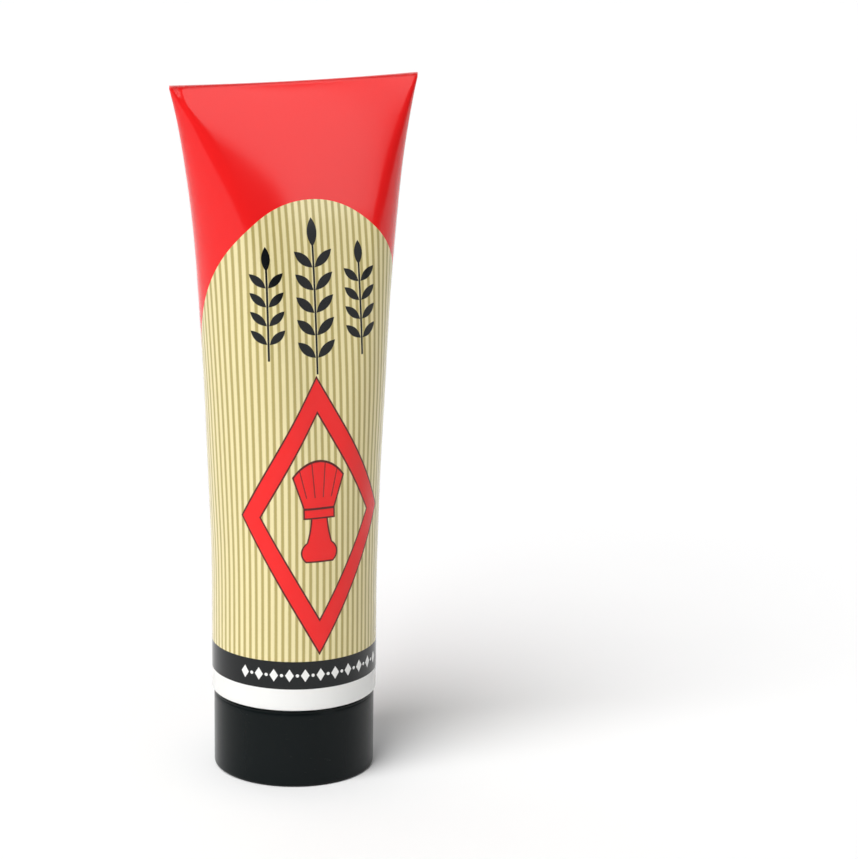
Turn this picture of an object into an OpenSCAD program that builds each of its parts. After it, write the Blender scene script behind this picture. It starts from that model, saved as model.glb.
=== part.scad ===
// Shaving cream tube that stands on its screw cap.
// +Z is up, along the tube. The origin is on the tube's axis at the cap's foot.
// The crimped end is at the top and runs along X, and the tube's front faces -Y.

/* [Tube sleeve] */
// Outside diameter of the round lower end
tube_d = 38; // [36:0.5:42]
// Height of the whole object, cap included
total_h = 160; // [145:1:175]
// Wall thickness of the sleeve
wall = 0.5; // [0.4:0.05:0.7]
// Height at which the round section starts to flatten
round_top = 40; // [30:1:60]
// Height of the flat heat-sealed strip at the top
seal_h = 0.8; // [0.6:0.2:6]
// How far the middle of the top edge dips below its corners
edge_dip = 0.5; // [0:0.1:0.6]
// Share of the height over which the flattening sets in
flatten_blend = 0.3; // [0.2:0.05:0.5]
// Share of the flattening that is a short flare just below the seal
flare_share = 0.45; // [0:0.05:0.5]
// How far the cream bulges the front and the back where the tube is half flat
bulge = 2; // [0:0.5:3]

/* [Cap] */
// Outside diameter of the cap
cap_d = 37; // [35:0.2:37.2]
// Height of the cap
cap_h = 18.3; // [16:0.1:20]
// Thickness of the cap's skirt
skirt_t = 1.2; // [1:0.1:1.8]
// Thickness of the cap's end plate
plate_t = 1.8; // [1.4:0.1:2.4]
// Thickness of the stiffening webs between boss and skirt
web_t = 0.9; // [0.7:0.1:1.4]

/* [Neck and thread] */
// Core diameter of the neck
neck_core_d = 13; // [12:0.5:14]
// Depth of the neck's thread
thread_depth = 0.9; // [0.6:0.1:1]
// Pitch of the thread
pitch = 3; // [2.5:0.1:3.2]
// Turns of thread on the neck
thread_turns = 1.75; // [1:0.25:2]
// Diameter of the orifice in the neck's tip
orifice_d = 7; // [5:0.5:8]

/* [Hidden] */

// Sleeve
tube_r = tube_d / 2;
flat_half_w = PI * tube_r / 2;          // half the tube's girth lies on each side of the seal
seal_half_t = wall * 0.95;              // two walls pressed into one strip
seal_bottom = total_h - seal_h;
flare_power = 6;
sleeve_gap = 0.3;                       // between the cap's rim and the sleeve
sleeve_bottom = cap_h + sleeve_gap;
edge_round = 0.35;
cavity_slit = 0.05;                     // half the slit where the two walls come together
cavity_top = seal_bottom - 0.6;
around = 64;                            // points round the sleeve
barrel_rings = 3;
wedge_rings = 26;

// Neck, thread and shoulder
neck_core_r = neck_core_d / 2;
thread_r = neck_core_r + thread_depth;
orifice_r = orifice_d / 2;
neck_wall = 1.3;
neck_bore_r = neck_core_r - neck_wall;
tip_t = 1.2;                            // thickness of the plate round the orifice
liner_t = 1;
liner_play = 0.02;                      // wad to end plate
foil_t = 0.12;
tab_t = 0.1;
seal_play = 0.05;                       // foil tab to liner
liner_z = plate_t + liner_play;
foil_z = liner_z + liner_t + seal_play + tab_t;
neck_tip = foil_z + foil_t;
neck_root = 12.2;                       // where the neck meets the shoulder's cone
shoulder_t = 1.3;
rim_inner_r = 16.8;                     // the cone ends here in a flat rim
weld_h = 3.6;                           // height of the skirt welded inside the sleeve
shoulder_top = sleeve_bottom + weld_h;
weld_gap = 0.1;
skirt_r = tube_r - wall - weld_gap;
rim_t = 0.9;
corner_t = 0.6;                         // extra thickness in the corner of cone and rim
tip_bevel = 0.3;

// Thread form: widths along the axis at the root and at the crest
root_w = 1.5;
crest_w = 0.7;
root_sink = 0.3;                        // how deep the ridge is rooted in its wall
thread_steps = 24;                      // steps in one turn
run_out = 4;                            // steps over which the ridge fades at each end
thread_start = 1.6;                     // from the neck's tip to the first ridge
neck_thread_z = neck_tip + thread_start;
thread_play = 0.25;                     // radial, crest to the facing wall
boss_bore_r = thread_r + thread_play;
boss_crest_r = neck_core_r + thread_play;
boss_wall = 1.5;
boss_r = boss_bore_r + boss_wall;
boss_top = 10.8;
lead_in = 0.5;                          // bevel at the boss's mouth
boss_thread_z = neck_thread_z - pitch / 2;
boss_thread_turns = 1.5;

// Cap
cap_r = cap_d / 2;
foot_r = 12.5;                          // the end plate is dished inside this radius
dish = 0.5;
cap_edge = 0.7;                         // rounding of the cap's lower edge
rim_edge = 0.3;                         // bevel of the cap's rim
inner_bevel_w = 0.2;                    // bevel inside the cap's mouth
inner_bevel_h = 0.6;
fillet = 0.8;
web_h = 5;
web_root = 0.5;                         // how deep the webs run into the plate and the boss
web_end = 0.3;                          // and into the skirt
liner_r = boss_crest_r - 0.15;

// Cream
cream_gap = 0.1;
headspace = 48;                         // air above the cream, and the seal
cream_top = total_h - headspace;

// Share of flattening at a height, from 0 (round) to 1 (flat)
function ramp(t) = (t < flatten_blend ? t * t / (2 * flatten_blend) : t - flatten_blend / 2)
    / (1 - flatten_blend / 2);
function rise(z) = min(1, max(0, (z - round_top) / (seal_bottom - round_top)));
function flat_share(z) = (1 - flare_share) * ramp(rise(z)) + flare_share * pow(rise(z), flare_power);

// A quarter of a stadium: flat half-length l and end radius r. The point lies at the share q of
// the way from the fold, on the end's round, to the middle of the flat.
function stadium_point(l, r, q) =
    let (arc = PI * r / 2, len = q * (arc + l))
    len < arc ? [l + r * cos(90 * len / arc), r * sin(90 * len / arc)] : [l - (len - arc), r];

// One cross-section, inset from the outside by d: a circle that turns into a stadium of the same
// girth with bulging flats, and at the seal into a strip half_t thick each way
function section(z, d, half_t) =
    let (
        u = flat_share(z),
        end_r = (1 - u) * (tube_r - d) + u * half_t,
        half_w = (1 - u) * (tube_r - d) + u * (flat_half_w - d),
        drop = z > seal_bottom ? edge_dip * (z - seal_bottom) / seal_h : 0
    )
    [
        for (i = [0 : around - 1])
            let (
                s = 4 * i / around,
                quarter = floor(s),
                q = quarter % 2 == 0 ? s - quarter : 1 - (s - quarter),
                p = stadium_point(half_w - end_r, end_r, q),
                x = quarter == 0 || quarter == 3 ? p[0] : -p[0],
                middle = 1 - pow(x / half_w, 2),
                y = p[1] + 4 * bulge * u * (1 - u) * middle
            )
            [x, quarter < 2 ? y : -y, z - drop * middle]
    ];
function ring(z, r) = [
    for (i = [0 : around - 1])
        let (a = 360 * i / around)
        [r * cos(a), r * sin(a), z]
];

// A closed skin over a stack of rings. The first and last rings are capped, or joined when looped.
module skin(rings, looped = false) {
    n = len(rings);
    points = [for (r = rings) each r];
    sides = [
        for (k = [0 : looped ? n - 1 : n - 2], i = [0 : around - 1])
            let (j = (i + 1) % around, a = k * around, b = (k + 1) % n * around)
            each [[a + i, b + i, b + j], [a + i, b + j, a + j]]
    ];
    // the end caps are strips between mirrored points, which stay sound on a flattened section
    half = around / 2;
    function mirrored(i) = (around - i) % around;
    function end_cap(base) = [
        for (i = [0 : half - 1])
            let (p = base + i, q = base + i + 1, r = base + mirrored(i + 1), s = base + mirrored(i))
            each (i == 0 ? [[p, q, r]] : i == half - 1 ? [[p, q, s]] : [[p, q, r], [p, r, s]])
    ];
    function flipped(faces) = [for (f = faces) [f[2], f[1], f[0]]];
    ends = looped ? [] : concat(end_cap(0), flipped(end_cap((n - 1) * around)));
    polyhedron(points = points, faces = concat(sides, ends), convexity = 6);
}

// Heights of the rings: a few on the barrel, then closer together towards the seal
function barrel_heights(z0) = [for (k = [0 : barrel_rings - 1]) z0 + (round_top - z0) * k / barrel_rings];
function wedge_heights(z1) = [
    for (k = [0 : wedge_rings]) round_top + (z1 - round_top) * sin(90 * k / wedge_rings)
];

// Printed plastic sleeve: round at the bottom, heat-sealed flat at the top
module tube_sleeve() {
    outer = [
        for (z = concat(barrel_heights(sleeve_bottom + edge_round), wedge_heights(seal_bottom)))
            section(z, 0, seal_half_t)
    ];
    inner = [
        for (z = concat(barrel_heights(sleeve_bottom + edge_round), wedge_heights(cavity_top)))
            section(z, wall, cavity_slit)
    ];
    rim = ring(sleeve_bottom, tube_r - edge_round);
    edge = section(total_h, 0, seal_half_t);
    color("firebrick")
        difference() {
            skin(concat([rim], outer, [edge]));
            skin(concat([ring(sleeve_bottom - 1, tube_r - wall)], inner));
        }
}

// A helical ridge from radius r_root to r_crest, fading into its wall at both ends
module ridge(r_root, r_crest, z0, turns) {
    steps = round(turns * thread_steps);
    sink = r_root < r_crest ? -root_sink : root_sink;
    function fade(k) = min(1, min(k, steps - k) / run_out);
    function crest(k) = r_root + sink / 2 + (r_crest - r_root - sink / 2) * fade(k);
    function corner(r, z, k) = [
        r * cos(360 * k / thread_steps), r * sin(360 * k / thread_steps), z0 + z + pitch * k / thread_steps
    ];
    loops = [
        for (k = [0 : steps]) [
            corner(r_root + sink, -root_w / 2, k), corner(crest(k), -crest_w / 2, k),
            corner(crest(k), crest_w / 2, k), corner(r_root + sink, root_w / 2, k)
        ]
    ];
    sides = [
        for (k = [0 : steps - 1], i = [0 : 3])
            let (j = (i + 1) % 4, a = 4 * k, b = 4 * (k + 1))
            each [[a + i, b + i, b + j], [a + i, b + j, a + j]]
    ];
    last = 4 * steps;
    ends = [[0, 1, 2], [0, 2, 3], [last + 2, last + 1, last], [last + 3, last + 2, last]];
    faces = concat(sides, ends);
    turned = [for (f = faces) [f[2], f[1], f[0]]];
    polyhedron(points = [for (l = loops) each l], faces = r_root < r_crest ? turned : faces, convexity = 8);
}

// Moulded shoulder with the threaded neck, welded inside the sleeve's lower end
module tube_shoulder() {
    profile = [
        [orifice_r, neck_tip], [neck_core_r - tip_bevel, neck_tip], [neck_core_r, neck_tip + tip_bevel],
        [neck_core_r, neck_root], [rim_inner_r, sleeve_bottom], [skirt_r, sleeve_bottom],
        [skirt_r, shoulder_top], [skirt_r - rim_t, shoulder_top],
        [skirt_r - rim_t, sleeve_bottom + shoulder_t],
        [rim_inner_r - corner_t, sleeve_bottom + shoulder_t],
        [neck_bore_r, neck_root + shoulder_t], [neck_bore_r, neck_tip + tip_t],
        [orifice_r, neck_tip + tip_t]
    ];
    color("white")
        union() {
            rotate_extrude($fn = 96) polygon(profile);
            ridge(neck_core_r, thread_r, neck_thread_z, thread_turns);
        }
}

// Peel-off aluminium membrane on the neck's tip, with its half-round pull tab folded flat
module foil_seal() {
    foil_r = neck_core_r - 0.4;
    tab_r = foil_r - 0.5;
    color("silver")
        union() {
            translate([0, 0, foil_z]) cylinder(r = foil_r, h = foil_t, $fn = 64);
            translate([0, 0, foil_z - tab_t])
                intersection() {
                    cylinder(r = tab_r, h = tab_t + foil_t / 2, $fn = 64);
                    translate([-foil_r, 0, -1]) cube([2 * foil_r, foil_r, 3]);
                }
        }
}

// The cream: it fills the neck, the shoulder and the sleeve up to a little air below the seal
module shaving_cream() {
    neck_r = neck_bore_r - cream_gap;
    slope_r = rim_inner_r - corner_t - cream_gap;
    inside_skirt = skirt_r - rim_t - cream_gap;
    above_skirt = shoulder_top + cream_gap;
    inset = wall + cream_gap;
    lower = [
        ring(neck_tip + cream_gap / 2, orifice_r - cream_gap),
        ring(neck_tip + tip_t + cream_gap, orifice_r - cream_gap),
        ring(neck_tip + tip_t + cream_gap, neck_r),
        ring(neck_root + shoulder_t + 2 * cream_gap, neck_r),
        ring(sleeve_bottom + shoulder_t + 2 * cream_gap, slope_r),
        ring(sleeve_bottom + shoulder_t + 2 * cream_gap, inside_skirt),
        ring(above_skirt, inside_skirt),
        ring(above_skirt, tube_r - inset)
    ];
    upper = [for (z = wedge_heights(cream_top)) section(z, inset, cavity_slit)];
    color("whitesmoke") skin(concat(lower, upper));
}

// Screw cap: one moulding with a smooth skirt, an end plate and a threaded inner boss
module screw_cap() {
    skirt_in = cap_r - skirt_t;
    lower_edge = [
        for (a = [270 : 15 : 360]) [cap_r - cap_edge, cap_edge] + cap_edge * [cos(a), sin(a)]
    ];
    inside = [
        [cap_r, cap_h - rim_edge], [cap_r - rim_edge, cap_h], [skirt_in + inner_bevel_w, cap_h],
        [skirt_in, cap_h - inner_bevel_h], [skirt_in, plate_t + fillet], [skirt_in - fillet, plate_t],
        [boss_r + fillet, plate_t], [boss_r, plate_t + fillet], [boss_r, boss_top],
        [boss_bore_r + lead_in, boss_top], [boss_bore_r, boss_top - lead_in], [boss_bore_r, plate_t],
        [0, plate_t]
    ];
    color("#1b1d1f")
        union() {
            rotate_extrude($fn = 128)
                polygon(concat([[0, dish], [foot_r - dish, dish], [foot_r, 0]], lower_edge, inside));
            ridge(boss_bore_r, boss_crest_r, boss_thread_z, boss_thread_turns);
            for (a = [45 : 90 : 315])
                rotate([0, 0, a])
                    translate([boss_r - web_root, -web_t / 2, plate_t - web_root])
                    cube([skirt_in + web_end - boss_r + web_root, web_t, web_h + web_root]);
        }
}

// Soft foam wad that lies in the cap's boss and presses on the neck's tip
module cap_liner() {
    color("gainsboro")
    translate([0, 0, liner_z]) cylinder(r = liner_r, h = liner_t, $fn = 64);
}

tube_sleeve();
tube_shoulder();
foil_seal();
shaving_cream();
screw_cap();
cap_liner();
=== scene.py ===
"""Looks of the shaving cream tube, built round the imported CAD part.

Lengths named *_MM are millimetres in the part's frame; meshes are made in metres.
"""

import math

import bmesh
import bpy
import numpy as np
from mathutils import Matrix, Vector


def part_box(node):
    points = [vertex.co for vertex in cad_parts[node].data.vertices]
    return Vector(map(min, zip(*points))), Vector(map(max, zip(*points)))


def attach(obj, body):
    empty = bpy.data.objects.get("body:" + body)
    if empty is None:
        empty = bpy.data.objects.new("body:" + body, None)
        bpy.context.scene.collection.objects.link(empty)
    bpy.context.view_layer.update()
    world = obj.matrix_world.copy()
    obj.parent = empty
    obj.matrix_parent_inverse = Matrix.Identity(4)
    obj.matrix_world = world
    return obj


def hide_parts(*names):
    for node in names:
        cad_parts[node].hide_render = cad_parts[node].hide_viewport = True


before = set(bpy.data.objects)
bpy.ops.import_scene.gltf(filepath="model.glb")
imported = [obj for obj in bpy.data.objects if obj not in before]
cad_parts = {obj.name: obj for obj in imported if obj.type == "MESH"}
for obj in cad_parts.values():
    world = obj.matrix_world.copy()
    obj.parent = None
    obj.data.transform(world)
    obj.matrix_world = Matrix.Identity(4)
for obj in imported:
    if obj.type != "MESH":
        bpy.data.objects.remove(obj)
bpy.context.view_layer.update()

MM = 0.001

# ---------------------------------------------------------------- camera

CAMERA_DISTANCE = 0.691  # from the tube's axis, along the floor
CAMERA_HEIGHT = 0.2624
CAMERA_AZIMUTH = -23.06  # degrees round from the front, towards -X
LOOK_TURN = -2.536  # degrees: the view's middle lies to the right of the tube
LOOK_PITCH = -14.787
LOOK_ROLL = 0.802
LENS = 131.55


def make_camera():
    turn = math.radians(CAMERA_AZIMUTH)
    place = Matrix.Translation(
        (CAMERA_DISTANCE * math.sin(turn), -CAMERA_DISTANCE * math.cos(turn), CAMERA_HEIGHT)
    )
    data = bpy.data.cameras.new("camera")
    data.lens = LENS
    data.sensor_width = 36
    data.sensor_fit = "HORIZONTAL"
    camera = bpy.data.objects.new("camera", data)
    camera.matrix_world = (
        place
        @ Matrix.Rotation(math.radians(CAMERA_AZIMUTH + LOOK_TURN), 4, "Z")
        @ Matrix.Rotation(math.radians(90 + LOOK_PITCH), 4, "X")
        @ Matrix.Rotation(math.radians(LOOK_ROLL), 4, "Z")
    )
    bpy.context.scene.collection.objects.link(camera)
    bpy.context.scene.camera = camera


make_camera()

# ---------------------------------------------------------------- sizes, as on the CAD part

sleeve_low, sleeve_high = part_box("tube_sleeve")
_, cap_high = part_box("screw_cap")
foil_low, foil_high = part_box("foil_seal")
liner_low, liner_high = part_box("cap_liner")
_, shoulder_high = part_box("tube_shoulder")
cream_low, cream_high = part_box("shaving_cream")

TUBE_R_MM = sleeve_high.y / MM
TOP_MM = sleeve_high.z / MM
SLEEVE_BOTTOM_MM = sleeve_low.z / MM
FLAT_HALF_W_MM = math.pi * TUBE_R_MM / 2
WALL_MM = 0.5
SEAL_H_MM = 0.8
SEAL_HALF_T_MM = 0.475
SEAL_BOTTOM_MM = TOP_MM - SEAL_H_MM
ROUND_TOP_MM = 40.0
EDGE_DIP_MM = 0.5
FLATTEN_BLEND = 0.3
FLARE_SHARE = 0.45
FLARE_POWER = 6
EDGE_ROUND_MM = 0.35
BULGE_MM = 2.0
CAVITY_SLIT_MM = 0.05

PITCH_MM = 3.0
NECK_R_MM = 6.5
THREAD_DEPTH_MM = 0.9
THREAD_PLAY_MM = 0.25
ROOT_W_MM = 1.5
CREST_W_MM = 0.7
NECK_TURNS = 1.75
BOSS_TURNS = 1.5
RUN_OUT_TURNS = 4 / 24
NECK_TIP_MM = foil_high.z / MM
NECK_THREAD_MM = NECK_TIP_MM + 1.6
BOSS_THREAD_MM = NECK_THREAD_MM - PITCH_MM / 2

# ---------------------------------------------------------------- mesh tools


def new_object(name, points, faces, body, replaced, smooth_angle=35):
    """A mesh in metres from points in millimetres, riding on its body."""
    mesh = bpy.data.meshes.new(name)
    mesh.from_pydata([tuple(p) for p in np.asarray(points) * MM], [], faces)
    mesh.validate()
    work = bmesh.new()
    work.from_mesh(mesh)
    bmesh.ops.recalc_face_normals(work, faces=work.faces)
    limit = math.radians(smooth_angle)
    for edge in work.edges:
        edge.smooth = len(edge.link_faces) == 2 and edge.calc_face_angle() < limit
    for face in work.faces:
        face.smooth = True
    work.to_mesh(mesh)
    work.free()
    piece = bpy.data.objects.new(name, mesh)
    bpy.context.scene.collection.objects.link(piece)
    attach(piece, body)
    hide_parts(replaced)
    return piece


def grid_faces(rings, around, closed_loop=False):
    """Quads between neighbouring rings of a stack of rings."""
    faces = []
    for k in range(rings if closed_loop else rings - 1):
        a, b = k * around, (k + 1) % rings * around
        for i in range(around):
            j = (i + 1) % around
            faces.append((a + i, a + j, b + j, b + i))
    return faces


def arc(cx, cz, r, start, end, steps):
    """Points of a round corner in a lathe's profile."""
    angles = np.radians(np.linspace(start, end, steps + 1))
    return [(cx + r * math.cos(a), cz + r * math.sin(a)) for a in angles]


def finely(p, q, step):
    """Points from p to q, no further apart than step, without q."""
    n = max(1, math.ceil(math.dist(p, q) / step))
    return [(p[0] + (q[0] - p[0]) * k / n, p[1] + (q[1] - p[1]) * k / n) for k in range(n)]


def lathe(profile, around, shape=None):
    """Points and faces of a profile turned round Z.

    A profile that starts and ends on the axis is closed there; any other is a closed loop.
    shape(angles, r, z) gives the radius round one ring, for a thread.
    """
    angles = np.arange(around) * 2 * math.pi / around
    on_axis = profile[0][0] == 0
    rows = profile[1:-1] if on_axis else profile
    points = []
    for r, z in rows:
        radius = np.full(around, r) if shape is None else shape(angles, r, z)
        height = np.full(around, z)
        points.append(np.stack([radius * np.cos(angles), radius * np.sin(angles), height], 1))
    points = np.concatenate(points)
    faces = grid_faces(len(rows), around, closed_loop=not on_axis)
    if on_axis:
        ends = [(0, 0, profile[0][1]), (0, 0, profile[-1][1])]
        first, last = len(points), len(points) + 1
        points = np.concatenate([points, ends])
        base = (len(rows) - 1) * around
        for i in range(around):
            j = (i + 1) % around
            faces.append((first, j, i))
            faces.append((last, base + i, base + j))
    return points, faces


def smoothstep(t):
    t = np.clip(t, 0, 1)
    return t * t * (3 - 2 * t)


def thread_height(angles, z, start, turns):
    """Height of a helical ridge, from 0 at its root to 1 at its crest, round one ring."""
    along = z - start - PITCH_MM * angles / (2 * math.pi)
    off = (along + PITCH_MM / 2) % PITCH_MM - PITCH_MM / 2
    turn = (z - off - start) / PITCH_MM
    flank = (ROOT_W_MM / 2 - np.abs(off)) / ((ROOT_W_MM - CREST_W_MM) / 2)
    fade = np.minimum(turn, turns - turn) / RUN_OUT_TURNS
    return smoothstep(flank) * smoothstep(fade)


# ---------------------------------------------------------------- the sleeve's form


def flat_share(z):
    """How far the section at a height has flattened, from 0 (round) to 1 (flat)."""
    t = min(1, max(0, (z - ROUND_TOP_MM) / (SEAL_BOTTOM_MM - ROUND_TOP_MM)))
    if t < FLATTEN_BLEND:
        ramp = t * t / (2 * FLATTEN_BLEND)
    else:
        ramp = t - FLATTEN_BLEND / 2
    return (1 - FLARE_SHARE) * ramp / (1 - FLATTEN_BLEND / 2) + FLARE_SHARE * t**FLARE_POWER


def section(z, inset, half_t, around):
    """One cross-section of the sleeve: its points, and each point's way round from the front's middle.

    The ring starts at the middle of the back and runs past the -X fold, the front and the +X fold.
    """
    u = flat_share(z)
    end_r = (1 - u) * (TUBE_R_MM - inset) + u * half_t
    half_w = (1 - u) * (TUBE_R_MM - inset) + u * (FLAT_HALF_W_MM - inset)
    flat = half_w - end_r
    quarter_arc = math.pi * end_r / 2
    turn = 1 + 4 * np.arange(around) / around
    quarter = np.floor(turn).astype(int) % 4
    part = turn - np.floor(turn)
    way = np.where(quarter % 2 == 0, part, 1 - part) * (quarter_arc + flat)
    on_arc = way < quarter_arc
    bend = np.where(on_arc, way, 0) / end_r
    x = np.where(on_arc, flat + end_r * np.cos(bend), flat - (way - quarter_arc))
    y = np.where(on_arc, end_r * np.sin(bend), end_r)
    x = np.where((quarter == 0) | (quarter == 3), x, -x)
    y = np.where(quarter < 2, y, -y)
    drop = EDGE_DIP_MM * max(0, z - SEAL_BOTTOM_MM) / SEAL_H_MM
    height = z - drop * (1 - (x / half_w) ** 2)
    bulge = 4 * BULGE_MM * u * (1 - u) * (1 - (x / half_w) ** 2)
    return np.stack([x, y + np.sign(y) * bulge, height], 1), (turn - 3) * FLAT_HALF_W_MM


AROUND = 256  # points round the sleeve
WAVE_MM = 0.09
# each wave's share, its radians per millimetre round and up the sleeve, and its phase
UNEVEN_WAVES = ((1.0, 0.105, 0.061, 0.7), (0.7, 0.21, -0.093, 2.1), (0.5, 0.053, 0.17, 4.0))
PRESSING_FADE_MM = 0.15
SERRATION_MM = 4 * 4 * FLAT_HALF_W_MM / AROUND
SERRATION_DEPTH_MM = 0.05
CREASE_IN_MM = 1.7  # from the corner
CREASE_LONG_MM = 7.0
CREASE_HALF_W_MM = 0.6
CREASE_SLANT = 0.12
CREASE_DEPTH_MM = 0.2


def soft_unevenness(points, way, z):
    """The slight unevenness of a filled plastic sleeve, strongest half way up."""
    above_band = smoothstep((z - 34) / 30)
    under_seal = smoothstep((SEAL_BOTTOM_MM - 2 - z) / 20)
    wave = sum(
        share * np.sin(way * across + z * up + phase) for share, across, up, phase in UNEVEN_WAVES
    )
    length = np.hypot(points[:, 0], points[:, 1])
    moved = points.copy()
    move = WAVE_MM * above_band * under_seal * wave
    moved[:, :2] *= (1 + move / np.maximum(length, 1))[:, None]
    return moved


def seal_pressing(points, way, z):
    """Fine upright serrations that the sealing jaws press into the flat strip."""
    above_start = smoothstep((z - SEAL_BOTTOM_MM - 0.05) / PRESSING_FADE_MM)
    under_edge = smoothstep((TOP_MM - PRESSING_FADE_MM - z) / PRESSING_FADE_MM)
    rib = 0.5 - 0.5 * np.cos(way * 2 * math.pi / SERRATION_MM)
    plain_end, end_fade = 1.0, 0.5
    inside = smoothstep((FLAT_HALF_W_MM - plain_end - np.abs(points[:, 0])) / end_fade)
    moved = points.copy()
    depth = SERRATION_DEPTH_MM * above_start * under_edge * inside * rib
    moved[:, 1] -= np.sign(points[:, 1]) * depth
    return moved


def corner_crease(points, z):
    """The small crease that the jaws left under the -X corner, fading out downwards."""
    off = points[:, 0] + FLAT_HALF_W_MM - CREASE_IN_MM - (TOP_MM - z) * CREASE_SLANT
    level = smoothstep((z - TOP_MM + CREASE_LONG_MM) / CREASE_LONG_MM)
    front = points[:, 1] < 0
    moved = points.copy()
    moved[:, 1] += CREASE_DEPTH_MM * level * front * np.exp(-((off / CREASE_HALF_W_MM) ** 2))
    return moved


def sleeve_heights():
    barrel = np.linspace(SLEEVE_BOTTOM_MM + EDGE_ROUND_MM, ROUND_TOP_MM, 20)[:-1]
    wedge = np.linspace(ROUND_TOP_MM, SEAL_BOTTOM_MM - 8, 130)[:-1]
    under_seal = np.linspace(SEAL_BOTTOM_MM - 8, SEAL_BOTTOM_MM, 24)[:-1]
    strip = np.linspace(SEAL_BOTTOM_MM, TOP_MM, 15)
    return np.concatenate([barrel, wedge, under_seal, strip])


def ring(r, z, around):
    turn = 1 + 4 * np.arange(around) / around
    angles = turn * math.pi / 2
    points = np.stack([r * np.cos(angles), r * np.sin(angles), np.full(around, z)], 1)
    return points, (turn - 3) * FLAT_HALF_W_MM


def make_sleeve():
    rows, ways = [], []
    for a in np.radians(np.linspace(-90, 0, 5))[:-1]:  # the rounded lower edge
        r = TUBE_R_MM - EDGE_ROUND_MM + EDGE_ROUND_MM * math.cos(a)
        points, way = ring(r, SLEEVE_BOTTOM_MM + EDGE_ROUND_MM * (1 + math.sin(a)), AROUND)
        rows.append(points)
        ways.append(way)
    for z in sleeve_heights():
        points, way = section(z, 0, SEAL_HALF_T_MM, AROUND)
        points = soft_unevenness(points, way, z)
        rows.append(corner_crease(seal_pressing(points, way, z), z))
        ways.append(way)
    top = len(rows) - 1
    # the inner wall runs down from the slit under the seal to the lower rim
    seal_inside, barrel_middle = 0.6, 30.0
    inner = np.linspace(SEAL_BOTTOM_MM - seal_inside, ROUND_TOP_MM, 40)
    for z in np.concatenate([inner, [barrel_middle, SLEEVE_BOTTOM_MM]]):
        points, way = section(z, WALL_MM, CAVITY_SLIT_MM, AROUND)
        rows.append(soft_unevenness(points, way, z))
        ways.append(way)
    n = AROUND
    outer_rings = top + 1
    faces = grid_faces(outer_rings, n)
    inner_faces = grid_faces(len(rows) - outer_rings, n)
    shift = outer_rings * n
    faces += [tuple(i + shift for i in f) for f in inner_faces]
    last = (len(rows) - 1) * n
    faces += [(i, (i + 1) % n, last + (i + 1) % n, last + i) for i in range(n)]
    for base in (top * n, shift):
        faces += mirrored_strip(base, n)
    sleeve = new_object(
        "printed_sleeve", np.concatenate(rows), faces, "tube", "tube_sleeve", 50
    )
    store_print_place(sleeve, np.concatenate(ways), n)
    return sleeve


def mirrored_strip(base, n):
    """Faces that close a ring flat, between each point of its front and the one behind it."""
    faces = []
    for i in range(n // 4, 3 * n // 4):
        p, q = base + i, base + i + 1
        r, s = base + (n // 2 - i - 1) % n, base + (n // 2 - i) % n
        corners = [p, q, r, s]
        faces.append(tuple(dict.fromkeys(corners)))
    return faces


def store_print_place(sleeve, ways, n):
    """Stores each corner's way round the sleeve, so the print has no jump at the back."""
    mesh = sleeve.data
    corner = np.empty(len(mesh.loops), np.int32)
    mesh.loops.foreach_get("vertex_index", corner)
    place = ways[corner].astype(np.float32)
    column = corner % n
    for face in mesh.polygons:
        span = range(face.loop_start, face.loop_start + face.loop_total)
        if {column[i] for i in span} >= {0, n - 1}:
            for i in span:
                if column[i] == 0:
                    place[i] += 4 * FLAT_HALF_W_MM
    layer = mesh.attributes.new("around_mm", "FLOAT", "CORNER")
    layer.data.foreach_set("value", place)


# ---------------------------------------------------------------- shoulder, foil, cream


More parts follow.
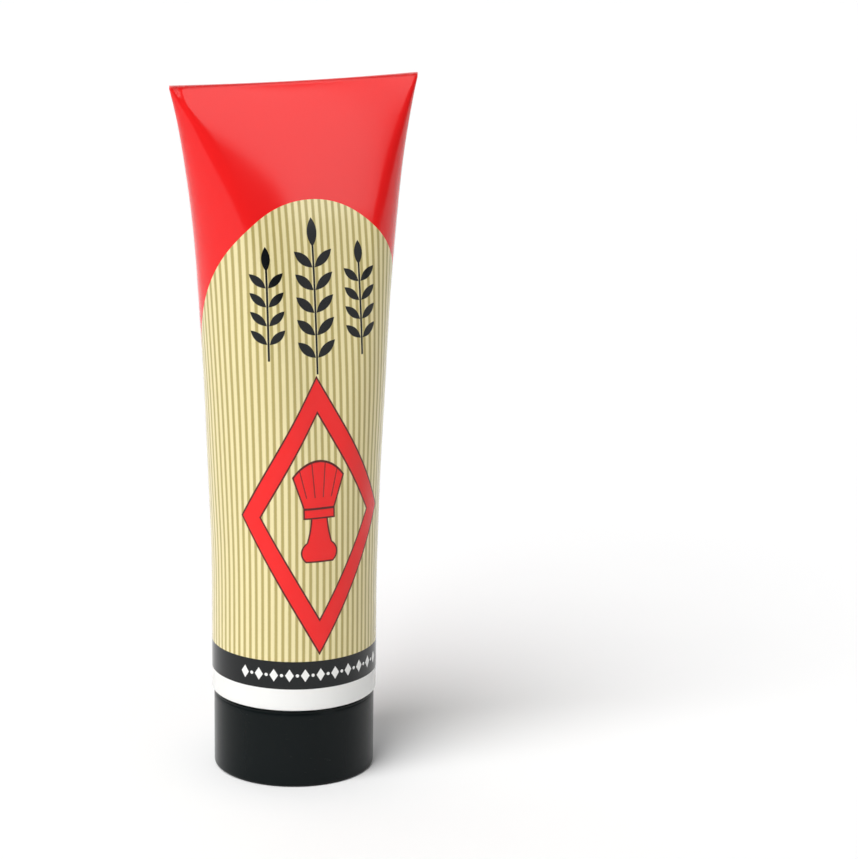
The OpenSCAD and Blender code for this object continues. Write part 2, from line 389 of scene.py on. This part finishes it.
def make_shoulder():
    neck_root, rim_r, shell = 12.2, 16.8, 1.3
    bore_r, orifice_r, tip_t = 5.2, 3.5, 1.2
    orifice_round, tip_round = 0.15, 0.3
    skirt_r = shoulder_high.x / MM
    skirt_top = shoulder_high.z / MM
    skirt_in = skirt_r - 0.9
    base = SLEEVE_BOTTOM_MM
    profile = [(orifice_r, NECK_TIP_MM + orifice_round)]
    orifice_edge = (orifice_r + orifice_round, NECK_TIP_MM + orifice_round, orifice_round)
    profile += arc(*orifice_edge, 180, 270, 3)[1:]
    profile += arc(NECK_R_MM - tip_round, NECK_TIP_MM + tip_round, tip_round, -90, 0, 4)
    profile += finely((NECK_R_MM, NECK_TIP_MM + 0.35), (NECK_R_MM, neck_root - 0.5), 0.11)
    slope = math.atan2(base - neck_root, rim_r - NECK_R_MM)
    turn = 90 - math.degrees(slope)
    fillet = 0.6
    profile += arc(NECK_R_MM + fillet, neck_root - 0.5, fillet, 180, 180 - turn, 4)
    profile += finely((NECK_R_MM + 0.9, neck_root + 0.55), (rim_r - 0.3, base - 0.2), 1.2)
    profile += arc(rim_r + 0.1, base - 0.6, 0.6, 90 + math.degrees(slope), 90, 3)
    profile += [(skirt_r - 0.2, base), (skirt_r, base + 0.2), (skirt_r, skirt_top - 0.3)]
    profile += [(skirt_r - 0.2, skirt_top), (skirt_in, skirt_top), (skirt_in, base + shell + 0.5)]
    profile += [(skirt_in - 0.5, base + shell), (rim_r - 0.6, base + shell)]
    profile += [(bore_r + 0.3, neck_root + shell + 0.1), (bore_r, neck_root + shell - 0.3)]
    profile += [(bore_r, NECK_TIP_MM + tip_t + 0.2), (bore_r - 0.2, NECK_TIP_MM + tip_t)]
    profile += [(orifice_r, NECK_TIP_MM + tip_t)]

    def neck_shape(angles, r, z):
        if abs(r - NECK_R_MM) > 0.001:
            return np.full(len(angles), r)
        return r + THREAD_DEPTH_MM * thread_height(angles, z, NECK_THREAD_MM, NECK_TURNS)

    points, faces = lathe(profile, 192, neck_shape)
    return new_object("shoulder_and_neck", points, faces, "tube", "tube_shoulder")


def make_foil():
    """The membrane, embossed by the welding ring, and its half-round tab."""
    low, high = foil_low.z / MM, foil_high.z / MM
    foil_r = foil_high.x / MM
    tab_t, tab_margin = 0.1, 0.4
    dent_mm, weld_mm, weld_r, weld_half_w = 0.018, 0.02, 5.1, 0.35
    around, rows = 96, 26
    points, faces = [], []
    radii = np.linspace(foil_r, foil_r / rows, rows)
    angles = np.arange(around) * 2 * math.pi / around
    for side in (0, 1):
        for r in radii:
            ripple = np.sin(3 * angles + r) * np.sin(r * 1.7)
            dent = dent_mm * ripple * smoothstep((5 - r) / 2) + weld_mm
            weld = weld_mm * math.exp(-(((r - weld_r) / weld_half_w) ** 2))
            tab = (np.sin(angles) > 0) & (r < foil_r - tab_margin)
            z = high if side else low + (tab_t + dent) * (1 - tab) + weld
            z = np.broadcast_to(z, around)
            points.append(np.stack([r * np.cos(angles), r * np.sin(angles), z], 1))
    outer = rows * around
    points = np.concatenate(points + [[(0, 0, low + tab_t), (0, 0, high)]])
    for base, centre in ((0, 2 * outer), (outer, 2 * outer + 1)):
        faces += [tuple(i + base for i in f) for f in grid_faces(rows, around)]
        last = base + (rows - 1) * around
        faces += [(centre, last + i, last + (i + 1) % around) for i in range(around)]
    faces += [(i, (i + 1) % around, outer + (i + 1) % around, outer + i) for i in range(around)]
    return new_object("foil_membrane", points, faces, "tube", "foil_seal")


def make_cream():
    """The fill, with the slightly swirled surface it has under the air below the seal."""
    gap, inset = 0.1, WALL_MM + 0.1
    neck_r, orifice_r = 5.1, 3.4
    base = SLEEVE_BOTTOM_MM
    n = 128
    # radius and height of each ring, from the orifice up to the sleeve's wall
    spec = [
        (orifice_r, cream_low.z / MM), (orifice_r, NECK_TIP_MM + 1.4), (neck_r, NECK_TIP_MM + 1.6),
        (neck_r, 13.6), (neck_r + 0.3, 13.9), (16.0, base + 1.55), (17.2, base + 1.75),
        (17.3, base + 3.6), (18.2, base + 4.0), (TUBE_R_MM - inset, base + 4.5),
    ]
    rows = [ring(r, z, n)[0] for r, z in spec]
    top = cream_high.z / MM
    for z in np.linspace(30, top, 60):
        points, way = section(z, inset, CAVITY_SLIT_MM, n)
        points = soft_unevenness(points, way, z)
        points[:, :2] *= 1 - gap / 60
        rows.append(points)
    faces = grid_faces(len(rows), n)
    faces += mirrored_strip((len(rows) - 1) * n, n)
    faces.append(tuple(range(n)))
    return new_object("cream_fill", np.concatenate(rows), faces, "tube", "shaving_cream")


# ---------------------------------------------------------------- cap and liner


def make_cap():
    cap_r, cap_h = cap_high.x / MM, cap_high.z / MM
    foot_r, dish, plate, skirt_t = 12.5, 0.5, 1.8, 1.2
    skirt_in = cap_r - skirt_t
    bore_r = NECK_R_MM + THREAD_DEPTH_MM + THREAD_PLAY_MM
    boss_r, boss_top = bore_r + 1.5, 10.8
    gate_r = 0.9
    profile = [(0, dish - 0.12), (gate_r, dish - 0.12), (gate_r + 0.15, dish + 0.02)]
    profile += finely((2.5, dish), (foot_r - dish, dish), 2.5) + [(foot_r - dish, dish)]
    profile += arc(foot_r, dish, dish, 180, 270, 1)[1:] + [(foot_r + 0.25, 0)]
    profile += finely((foot_r + 0.5, 0), (cap_r - 0.75, 0), 2) + arc(cap_r - 0.7, 0.7, 0.7, -90, 0, 8)
    profile += finely((cap_r, 1.0), (cap_r, cap_h - 0.95), 1.0)
    profile += rim_bead(cap_r, cap_h)
    profile += [(skirt_in + 0.25, cap_h), (skirt_in + 0.05, cap_h - 0.25), (skirt_in, cap_h - 0.6)]
    profile += finely((skirt_in, cap_h - 1), (skirt_in, plate + 0.8), 1.5)
    profile += arc(skirt_in - 0.8, plate + 0.8, 0.8, 0, -90, 5)
    profile += finely((skirt_in - 1.5, plate), (boss_r + 0.9, plate), 2) + [(boss_r + 0.8, plate)]
    profile += arc(boss_r + 0.8, plate + 0.8, 0.8, 270, 180, 5)[1:]
    profile += finely((boss_r, plate + 1.2), (boss_r, boss_top - 0.3), 1)
    profile += arc(boss_r - 0.25, boss_top - 0.25, 0.25, 0, 90, 3)
    profile += [(bore_r + 0.5, boss_top), (bore_r + 0.1, boss_top - 0.35)]
    profile += finely((bore_r, boss_top - 0.5), (bore_r, plate + 0.3), 0.11)
    profile += arc(bore_r - 0.3, plate + 0.3, 0.3, 0, -90, 3)
    profile += finely((bore_r - 0.6, plate), (0.6, plate), 2) + [(0, plate)]

    def boss_shape(angles, r, z):
        if abs(r - bore_r) > 0.001:
            return np.full(len(angles), r)
        return r - THREAD_DEPTH_MM * thread_height(angles, z, BOSS_THREAD_MM, BOSS_TURNS)

    points, faces = lathe(profile, 192, boss_shape)
    cap = new_object("cap_moulding", points, faces, "cap", "screw_cap", 32)
    add_webs(cap, boss_r, skirt_in, plate)
    return cap


def rim_bead(cap_r, cap_h):
    """The cap's rim: a fine step that shows as a line, then a rounded edge."""
    step, line = 0.08, 0.75
    points = [(cap_r, cap_h - line - 0.12), (cap_r - step * 0.4, cap_h - line - 0.04)]
    points += [(cap_r - step, cap_h - line + 0.06), (cap_r - step, cap_h - 0.32)]
    return points + arc(cap_r - step - 0.25, cap_h - 0.25, 0.25, 0, 90, 4)


def add_webs(cap, boss_r, skirt_in, plate):
    """Joins the four upright webs between boss and skirt to the moulding."""
    half_t, low, high, taper = 0.45, plate - 0.5, plate + 5, 0.08
    x0, x1 = boss_r - 0.5, skirt_in + 0.3
    for quarter in range(4):
        mesh = bpy.data.meshes.new("web")
        work = bmesh.new()
        corners = [
            work.verts.new((x * MM, side * (half_t - (taper if z == high else 0)) * MM, z * MM))
            for z in (low, high)
            for x, side in ((x0, -1), (x1, -1), (x1, 1), (x0, 1))
        ]
        for f in ((3, 2, 1, 0), (4, 5, 6, 7), (0, 1, 5, 4), (1, 2, 6, 5), (2, 3, 7, 6), (3, 0, 4, 7)):
            work.faces.new([corners[i] for i in f])
        turned = Matrix.Rotation(math.radians(45 + 90 * quarter), 4, "Z")
        bmesh.ops.transform(work, matrix=turned, verts=work.verts)
        work.to_mesh(mesh)
        work.free()
        web = bpy.data.objects.new("web", mesh)
        bpy.context.scene.collection.objects.link(web)
        join = cap.modifiers.new("join", "BOOLEAN")
        join.operation = "UNION"
        join.solver = "EXACT"
        join.object = web
        apply_modifiers(cap)
        bpy.data.objects.remove(web)


def apply_modifiers(piece):
    """Bakes a piece's modifiers into its mesh."""
    graph = bpy.context.evaluated_depsgraph_get()
    baked = bpy.data.meshes.new_from_object(piece.evaluated_get(graph))
    piece.modifiers.clear()
    old = piece.data
    piece.data = baked
    bpy.data.meshes.remove(old)


def make_liner():
    """The foam wad, with the ring that the neck's tip has pressed into it."""
    low, high, r = liner_low.z / MM, liner_high.z / MM, liner_high.x / MM
    profile = [(0, low)] + finely((0.8, low), (r - 0.2, low), 1)
    profile += arc(r - 0.2, low + 0.2, 0.2, -90, 0, 4) + arc(r - 0.25, high - 0.25, 0.25, 0, 90, 4)
    for x in np.linspace(r - 0.5, 0.4, 22):
        pressed = 0.07 * math.exp(-(((x - 4.8) / 0.9) ** 4))
        profile.append((x, high - pressed))
    profile.append((0, high))
    points, faces = lathe(profile, 96)
    return new_object("foam_liner", points, faces, "liner", "cap_liner", 40)


# ---------------------------------------------------------------- material tools


class Field:
    """A value in a material's nodes, with ordinary arithmetic."""

    def __init__(self, tree, socket):
        self.tree, self.socket = tree, socket

    def math(self, operation, *others):
        node = self.tree.nodes.new("ShaderNodeMath")
        node.operation = operation
        for slot, value in zip(node.inputs, (self, *others)):
            if isinstance(value, Field):
                self.tree.links.new(value.socket, slot)
            else:
                slot.default_value = value
        return Field(self.tree, node.outputs[0])

    def __add__(self, other):
        return self.math("ADD", other)

    def __sub__(self, other):
        return self.math("SUBTRACT", other)

    def __mul__(self, other):
        return self.math("MULTIPLY", other)

    def __truediv__(self, other):
        return self.math("DIVIDE", other)

    def __abs__(self):
        return self.math("ABSOLUTE")

    def min(self, other):
        return self.math("MINIMUM", other)

    def max(self, other):
        return self.math("MAXIMUM", other)

    def fade(self, start, end):
        """0 at start and before, 1 at end and after, smooth between."""
        node = self.tree.nodes.new("ShaderNodeMapRange")
        node.interpolation_type = "SMOOTHSTEP"
        node.inputs["From Min"].default_value = start
        node.inputs["From Max"].default_value = end
        self.tree.links.new(self.socket, node.inputs["Value"])
        return Field(self.tree, node.outputs["Result"])

    def inside(self, soft=0.05):
        """1 where a signed distance in millimetres is below zero."""
        return self.fade(soft, -soft)


class Paint:
    """One material: its nodes, its shader and shorthand for noise, colour and bump."""

    def __init__(self, name, **settings):
        self.material = bpy.data.materials.new(name)
        self.material.use_nodes = True
        self.tree = self.material.node_tree
        self.shader = self.tree.nodes["Principled BSDF"]
        for key, value in settings.items():
            self.shader.inputs[key.replace("_", " ")].default_value = value

    def attribute(self, name):
        node = self.tree.nodes.new("ShaderNodeAttribute")
        node.attribute_name = name
        return Field(self.tree, node.outputs["Fac"])

    def position(self):
        """X, Y and Z in millimetres, in the piece's own frame."""
        place = self.tree.nodes.new("ShaderNodeTexCoord")
        split = self.tree.nodes.new("ShaderNodeSeparateXYZ")
        self.tree.links.new(place.outputs["Object"], split.inputs[0])
        return [Field(self.tree, split.outputs[i]) * 1000 for i in range(3)]

    def noise(self, size_mm, detail=3, roughness=0.5, stretch=(1, 1, 1)):
        """Noise from 0 to 1 whose blobs are about size_mm wide."""
        place = self.tree.nodes.new("ShaderNodeTexCoord")
        scale = self.tree.nodes.new("ShaderNodeMapping")
        scale.inputs["Scale"].default_value = [1000 / size_mm / s for s in stretch]
        node = self.tree.nodes.new("ShaderNodeTexNoise")
        node.inputs["Scale"].default_value = 1
        node.inputs["Detail"].default_value = detail
        node.inputs["Roughness"].default_value = roughness
        self.tree.links.new(place.outputs["Object"], scale.inputs["Vector"])
        self.tree.links.new(scale.outputs["Vector"], node.inputs["Vector"])
        return Field(self.tree, node.outputs["Fac"])

    def mix(self, share, a, b):
        """Colour a where share is 0, colour b where it is 1."""
        node = self.tree.nodes.new("ShaderNodeMix")
        node.data_type = "RGBA"
        self.tree.links.new(share.socket, node.inputs["Factor"])
        for slot, colour in zip((node.inputs[6], node.inputs[7]), (a, b)):
            if isinstance(colour, tuple):
                slot.default_value = (*colour, 1)
            else:
                self.tree.links.new(colour, slot)
        return node.outputs[2]

    def set(self, name, value):
        socket = value.socket if isinstance(value, Field) else value
        self.tree.links.new(socket, self.shader.inputs[name])

    def bump(self, height, depth_mm):
        """Relief of depth_mm where height goes from 0 to 1."""
        node = self.tree.nodes.new("ShaderNodeBump")
        node.inputs["Strength"].default_value = 1
        node.inputs["Distance"].default_value = depth_mm * MM
        self.tree.links.new(height.socket, node.inputs["Height"])
        self.tree.links.new(node.outputs["Normal"], self.shader.inputs["Normal"])

    def put_on(self, piece):
        piece.data.materials.clear()
        piece.data.materials.append(self.material)


# ---------------------------------------------------------------- the print on the sleeve

RED = (0.94, 0.017, 0.017)
RED_DEEP = (0.90, 0.014, 0.015)
CREAM = (0.90, 0.80, 0.45)
TAN = (0.50, 0.41, 0.15)
INK = (0.006, 0.0075, 0.0085)
OUTLINE = (0.10, 0.012, 0.010)
BARE_PLASTIC = (0.93, 0.93, 0.91)

PRINT_MIDDLE_MM = -1.5
ARCH_TOP_MM = 135.0
ARCH_WIDENING_MM = 30.0  # growth of the half width's square per millimetre further down
ARCH_CROWN_MM2 = 44.0  # extra square of the half width that makes the crown blunt
ARCH_CROWN_PER_MM = 0.25
STRIPES_ROUND = 76
BAND_LOW_MM, BAND_HIGH_MM = 23.8, 30.4
EMBLEM_X_MM, EMBLEM_Z_MM = -0.3, 64.0
FIGURE_SHRINK = 1.15
OUTLINE_MM = 0.38
ROW_STEP_MM = 3.6
ROW_HALF_W_MM = 19.2
# pale red of the painted highlight along the seal's top edge
SEAL_EDGE_HIGHLIGHT = (0.86, 0.45, 0.43)


def arch_panel(x, z):
    """Signed distance, roughly in millimetres, from the edge of the arched cream panel."""
    drop = (z * -1 + ARCH_TOP_MM).max(0)
    crown = (drop * -ARCH_CROWN_PER_MM).math("EXPONENT") * -ARCH_CROWN_MM2 + ARCH_CROWN_MM2
    half_w = (drop * ARCH_WIDENING_MM + crown).math("SQRT")
    return (abs(x) - half_w).max(z - ARCH_TOP_MM)


def leaf(x, z, angle, start, length, half_w):
    """Signed distance of a pointed leaf that grows from the origin at an angle above the X axis."""
    c, s = math.cos(math.radians(angle)), math.sin(math.radians(angle))
    along = x * c + z * s - (start + length / 2)
    across = z * c - x * s
    return abs(across) - (along * along * (-4 * half_w / length**2) + half_w)


def sprig(x, z, low, pairs, step, length, half_w, angle=42):
    """Signed distance of an upright sprig: a stem, pairs of leaves and one leaf at the tip."""
    side = abs(x)
    up = z - low
    cell = up - (up / step).math("FLOOR") * step
    leafy = pairs * step
    leaves = leaf(side, cell - 0.5, angle, 0.35, length, half_w)
    leaves = leaves.max(abs(up - leafy / 2) - leafy / 2)
    stem_half_w, stem_above, stem_below = 0.24, 1, 3
    stem_middle = (leafy + stem_above - stem_below) / 2
    stem_half_h = (leafy + stem_above + stem_below) / 2
    stem = (side - stem_half_w).max(abs(up - stem_middle) - stem_half_h)
    tip = leaf(side, up - leafy, 90, 0.2, length * 1.15, half_w * 1.1)
    return leaves.min(stem).min(tip)


def lozenge(x, z, half_w, half_h):
    """Signed distance of an upright diamond."""
    slant = math.hypot(half_w, half_h)
    return (abs(x) * half_h + abs(z) * half_w - half_w * half_h) / slant


def brush_figure(x, z):
    """Signed distance of a small picture of a shaving brush: fan of hair, collar, turned handle."""
    side = abs(x)
    hair_low, hair_half_w, hair_spread, hair_reach, hair_squash = 1.6, 3.4, 0.34, 9.5, 0.5
    fan = side - (z * hair_spread + hair_half_w)
    crown = (x * x + z * z * hair_squash).math("SQRT") - hair_reach
    hair = fan.max(crown).max(z * -1 + hair_low)
    parting_low, parting_half_w, partings_meet = 4.2, 0.12, -10
    for slant in (0.08, 0.24):
        off = abs(side - (z - partings_meet) * slant)
        parting = (off - parting_half_w).max(z * -1 + parting_low)
        hair = hair.max(parting * -1)
    collar_half_w, collar_half_h = 3.9, 1.0
    collar = (side - collar_half_w).max(abs(z) - collar_half_h)
    waist_z, waist_half_h, waist_half_w, waist_flare = -4.6, 3.2, 1.9, 0.02
    waist = (side - (z * z * waist_flare + waist_half_w)).max(abs(z - waist_z) - waist_half_h)
    foot_z, foot_r, foot_squash, foot_low = -10.4, 4.6, 1.7, -12.6
    up = z - foot_z
    foot = ((x * x + up * up * foot_squash).math("SQRT") - foot_r).max((z - foot_low) * -1)
    return hair.min(collar).min(waist).min(foot)


def make_sleeve_paint():
    paint = Paint("printed_plastic", IOR=1.5)
    paint.shader.inputs["Specular IOR Level"].default_value = 0.32
    around = paint.attribute("around_mm")
    _, _, z = paint.position()
    x = around - PRINT_MIDDLE_MM
    noise = paint.noise(0.35, 2)
    cloud = paint.noise(25, 2)

    # cream panel with its fine upright tan stripes
    girth = 4 * FLAT_HALF_W_MM
    wave = (around * (2 * math.pi * STRIPES_ROUND / girth)).math("COSINE")
    ragged = (noise - 0.5) * 0.35
    stripe = (wave + ragged).fade(0.35, -0.75)
    colour = paint.mix(stripe, CREAM, TAN)

    # black sprigs, in the upper part of the panel
    sprigs = sprig(x, z, 99.5, 5, 5.0, 5.6, 1.05)
    for offset in (-11.0, 11.0):
        sprigs = sprigs.min(sprig(x - offset, z, 103, 4, 4.2, 4.7, 0.9))
    colour = paint.mix(sprigs.inside(), colour, INK)

    # red emblem: a diamond frame with a brush in it, both outlined
    across, up = x - EMBLEM_X_MM, z - EMBLEM_Z_MM
    frame_outer = lozenge(across, up, 17.8, 31.5)
    frame_inner = lozenge(across, up, 13.7, 24.3)
    frame_edge = frame_outer.max(frame_inner * -1)
    figure = brush_figure(across * FIGURE_SHRINK, (up - 1.0) * FIGURE_SHRINK) / FIGURE_SHRINK
    emblem = frame_edge.min(figure)
    colour = paint.mix((emblem - OUTLINE_MM).inside(), colour, OUTLINE)
    colour = paint.mix(emblem.inside(), colour, RED)

    # red round the panel
    red = paint.mix(cloud, RED, RED_DEEP)
    colour = paint.mix(arch_panel(x, z).inside() * -1 + 1, colour, red)

    # cream sprig on the red back
    back = abs(around) - 2 * FLAT_HALF_W_MM
    back_sprig = sprig(back, z, 92, 6, 6.0, 6.6, 1.25)
    colour = paint.mix(back_sprig.inside(), colour, CREAM)

    # black band with a row of white diamonds and dots, and the bare ring under it
    middle = (BAND_LOW_MM + BAND_HIGH_MM) / 2
    up = z - middle
    cell = x - ((x / ROW_STEP_MM + 0.5).math("FLOOR")) * ROW_STEP_MM
    half_cell = x + ROW_STEP_MM / 2 - ((x / ROW_STEP_MM + 1).math("FLOOR")) * ROW_STEP_MM
    diamonds = lozenge(cell, up, 1.0, 1.5)
    dots = (half_cell * half_cell + up * up).math("SQRT") - 0.38
    row = diamonds.min(dots).max(abs(x) - ROW_HALF_W_MM)
    band = paint.mix(row.inside(), INK, BARE_PLASTIC)
    colour = paint.mix((z - BAND_HIGH_MM).inside(), colour, band)
    colour = paint.mix((z - BAND_LOW_MM).inside(), colour, BARE_PLASTIC)

    # a pale band painted just under the seal's top edge: a painted highlight, with a ragged lower edge
    highlight_mm, ragged_mm, highlight_share = 0.45, 0.7, 0.55
    edge_highlight = ((z - (TOP_MM - highlight_mm)) + (noise - 0.5) * ragged_mm).fade(0.0, 0.5)
    colour = paint.mix(edge_highlight * highlight_share, colour, SEAL_EDGE_HIGHLIGHT)
    paint.set("Base Color", colour)

    smear = paint.noise(9, 4, 0.6, stretch=(1, 1, 2.5))
    paint.set("Roughness", smear * 0.06 + 0.1)
    paint.bump(noise, 0.002)
    return paint


# ---------------------------------------------------------------- other materials


def make_cap_paint():
    paint = Paint("cap_plastic", IOR=1.45)
    paint.shader.inputs["Specular IOR Level"].default_value = 0.16
    cloud = paint.noise(14, 3)
    paint.set("Base Color", paint.mix(cloud, (0.0025, 0.005, 0.0055), (0.004, 0.007, 0.0075)))
    scuff = paint.noise(2.2, 5, 0.65, stretch=(1, 1, 0.25)).fade(0.58, 0.8)
    paint.set("Roughness", scuff * 0.12 + paint.noise(0.5, 2) * 0.05 + 0.2)
    paint.bump(paint.noise(0.35, 3), 0.006)
    return paint


def make_shoulder_paint():
    paint = Paint("natural_plastic", IOR=1.5, Subsurface_Weight=0.2, Subsurface_Scale=0.002)
    cloud = paint.noise(6, 3)
    paint.set("Base Color", paint.mix(cloud, (0.86, 0.86, 0.83), (0.91, 0.91, 0.89)))
    paint.set("Roughness", paint.noise(1.2, 3) * 0.15 + 0.36)
    paint.bump(paint.noise(0.5, 3), 0.01)
    return paint


def make_foil_paint():
    paint = Paint("foil", Metallic=1.0)
    paint.set("Base Color", paint.mix(paint.noise(3, 2), (0.76, 0.76, 0.77), (0.86, 0.86, 0.86)))
    paint.set("Roughness", paint.noise(0.6, 4, stretch=(4, 1, 1)) * 0.2 + 0.22)
    paint.bump(paint.noise(1.1, 5, 0.6), 0.03)
    return paint


def make_cream_paint():
    paint = Paint("cream", IOR=1.4, Subsurface_Weight=0.4, Subsurface_Scale=0.003)
    paint.set("Base Color", paint.mix(paint.noise(5, 2), (0.92, 0.93, 0.91), (0.95, 0.955, 0.94)))
    paint.set("Roughness", paint.noise(2, 3) * 0.2 + 0.3)
    paint.bump(paint.noise(4, 4), 0.15)
    return paint


def make_liner_paint():
    paint = Paint("foam", IOR=1.45)
    cells = paint.tree.nodes.new("ShaderNodeTexVoronoi")
    place = paint.tree.nodes.new("ShaderNodeTexCoord")
    cells.inputs["Scale"].default_value = 1000 / 0.35
    paint.tree.links.new(place.outputs["Object"], cells.inputs["Vector"])
    cell = Field(paint.tree, cells.outputs["Distance"])
    paint.set("Base Color", paint.mix(cell, (0.86, 0.86, 0.84), (0.74, 0.74, 0.72)))
    paint.set("Roughness", cell * 0.15 + 0.6)
    paint.bump(cell, 0.05)
    return paint


# ---------------------------------------------------------------- assembly

make_sleeve_paint().put_on(make_sleeve())
make_shoulder_paint().put_on(make_shoulder())
make_foil_paint().put_on(make_foil())
make_cream_paint().put_on(make_cream())
make_cap_paint().put_on(make_cap())
make_liner_paint().put_on(make_liner())

# ---------------------------------------------------------------- studio


def make_floor():
    half = 6
    mesh = bpy.data.meshes.new("floor")
    corners = [(-half, -half, 0), (half, -half, 0), (half, half, 0), (-half, half, 0)]
    mesh.from_pydata(corners, [], [(0, 1, 2, 3)])
    floor = bpy.data.objects.new("floor", mesh)
    bpy.context.scene.collection.objects.link(floor)
    paint = Paint("pale_floor", Roughness=0.9)
    paint.shader.inputs["Specular IOR Level"].default_value = 0.0
    paint.set("Base Color", paint.mix(paint.noise(60, 3), (0.90, 0.90, 0.90), (0.92, 0.92, 0.92)))
    paint.put_on(floor)


PANEL_AZIMUTH = 26.3  # degrees round from the front, towards +X
PANEL_DISTANCE = 1.3
PANEL_WIDTH = 0.47
PANEL_AIM = (0, 0, 0.09)


def gloss_panel(name, elevation, height, power):
    """A soft panel that faces the tube and lights only its gloss."""
    data = bpy.data.lights.new(name, "AREA")
    data.shape = "RECTANGLE"
    data.size, data.size_y = PANEL_WIDTH, height
    data.energy = power
    light = bpy.data.objects.new(name, data)
    light.visible_diffuse = False
    light.matrix_world = (
        Matrix.Translation(PANEL_AIM)
        @ Matrix.Rotation(math.radians(PANEL_AZIMUTH), 4, "Z")
        @ Matrix.Rotation(math.radians(90 - elevation), 4, "X")
        @ Matrix.Translation((0, 0, PANEL_DISTANCE))
    )
    bpy.context.scene.collection.objects.link(light)


BACKDROP_LEVEL = 0.98


def make_world():
    """A dim studio with white sheets behind and overhead; the backdrop itself looks plain white."""
    world = bpy.data.worlds.new("studio")
    bpy.context.scene.world = world
    world.use_nodes = True
    tree = world.node_tree
    place = tree.nodes.new("ShaderNodeTexCoord")
    split = tree.nodes.new("ShaderNodeSeparateXYZ")
    tree.links.new(place.outputs["Generated"], split.inputs[0])
    back = Field(tree, split.outputs["Y"]).fade(0.55, 0.8)
    above = Field(tree, split.outputs["Z"]).fade(0.72, 0.9)
    level = (back * 0.7).max(above * 0.95) + 0.03
    seen = Field(tree, tree.nodes.new("ShaderNodeLightPath").outputs["Is Camera Ray"])
    level = level.max(seen * BACKDROP_LEVEL)
    tree.links.new(level.socket, tree.nodes["Background"].inputs["Strength"])
    tree.nodes["Background"].inputs["Color"].default_value = (1, 1, 1, 1)


def sun(name, azimuth, elevation, spread, strength):
    """A soft light with no falloff: strength is its irradiance."""
    data = bpy.data.lights.new(name, "SUN")
    data.energy = strength
    data.angle = math.radians(spread)
    light = bpy.data.objects.new(name, data)
    light.matrix_world = Matrix.Rotation(math.radians(azimuth), 4, "Z") @ Matrix.Rotation(
        math.radians(90 - elevation), 4, "X"
    )
    bpy.context.scene.collection.objects.link(light)


make_floor()
make_world()
sun("key_left", azimuth=-62, elevation=52, spread=40, strength=2.72)
# a panel that only the gloss shows, with a dim strip under it where the reflection fades
gloss_panel("panel_right", elevation=34, height=1.1, power=4.7)
gloss_panel("panel_right_low", elevation=5.5, height=0.25, power=0.35)
bpy.context.scene.view_settings.view_transform = "Standard"
